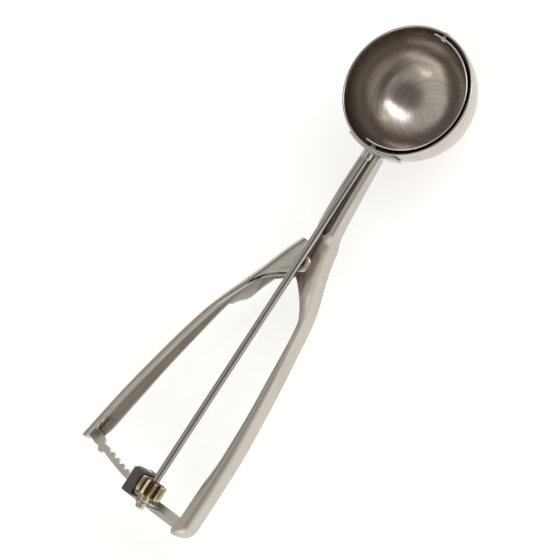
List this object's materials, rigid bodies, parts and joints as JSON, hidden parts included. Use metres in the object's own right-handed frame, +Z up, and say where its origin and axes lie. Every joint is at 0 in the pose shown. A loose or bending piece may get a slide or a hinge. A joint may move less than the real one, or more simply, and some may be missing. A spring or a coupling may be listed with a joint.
{
  "type": "lever ice cream scoop",
  "caption": "Steel scoop bowl with a thin curved blade that sweeps the bowl clean when a squeeze lever turns its rod through a rack and brass gears.",
  "frame": {"origin": "centre of the bowl's rim, on the plane of the rim", "axes": "+X along the rod from the tail to the bowl, +Y to the side of the squeeze lever, +Z up out of the bowl"},
  "size_m": [0.2153, 0.0676, 0.0314],
  "materials": {
    "satin_steel": "satin brushed stainless steel",
    "bright_steel": "drawn and polished stainless steel",
    "spring_wire": "hard drawn spring wire",
    "dark_steel": "dull pressed steel",
    "brass": "worn machined brass"
  },
  "bodies": {
    "frame": {"bowl": "satin_steel", "bowl_saddle": "satin_steel", "fixed_arm": "satin_steel", "end_bar": "satin_steel", "bar_rivets": "satin_steel", "hinge_pin": "bright_steel", "hinge_washer": "bright_steel", "return_spring": "spring_wire", "gear_cage": "dark_steel", "cage_rivet": "bright_steel", "idler_pin": "bright_steel", "neck_bush": "bright_steel"},
    "lever_body": {"lever": "satin_steel", "rack": "satin_steel", "rack_rivets": "bright_steel"},
    "idler_body": {"idler_gear": "brass"},
    "sweep_body": {"sweep_rod": "bright_steel", "rod_pinion": "brass", "pinion_pin": "bright_steel", "tail_washer": "bright_steel", "sweep_blade": "bright_steel", "front_pivot": "bright_steel"}
  },
  "joints": [
    {"name": "lever_hinge", "type": "hinge", "parent": "frame", "child": "lever_body", "pos_m": [-0.0759, 0, -0.0107], "axis": [0, 0, 1], "range_deg": [0, 7.4], "stiffness_Nm_per_rad": 2, "springref_deg": -20.05, "deforming": ["return_spring"]},
    {"name": "idler_turn", "type": "hinge", "parent": "frame", "child": "idler_body", "pos_m": [-0.1785, 0.00774, -0.0078], "axis": [1, 0, 0], "range_deg": [-173, 0]},
    {"name": "blade_sweep", "type": "hinge", "parent": "frame", "child": "sweep_body", "pos_m": [0, 0, -0.0032], "axis": [1, 0, 0], "range_deg": [0, 173]}
  ],
  "couplings": [
    {"joint": "idler_turn", "follows": "lever_hinge", "ratio": -23.333},
    {"joint": "blade_sweep", "follows": "lever_hinge", "ratio": 23.333}
  ]
}
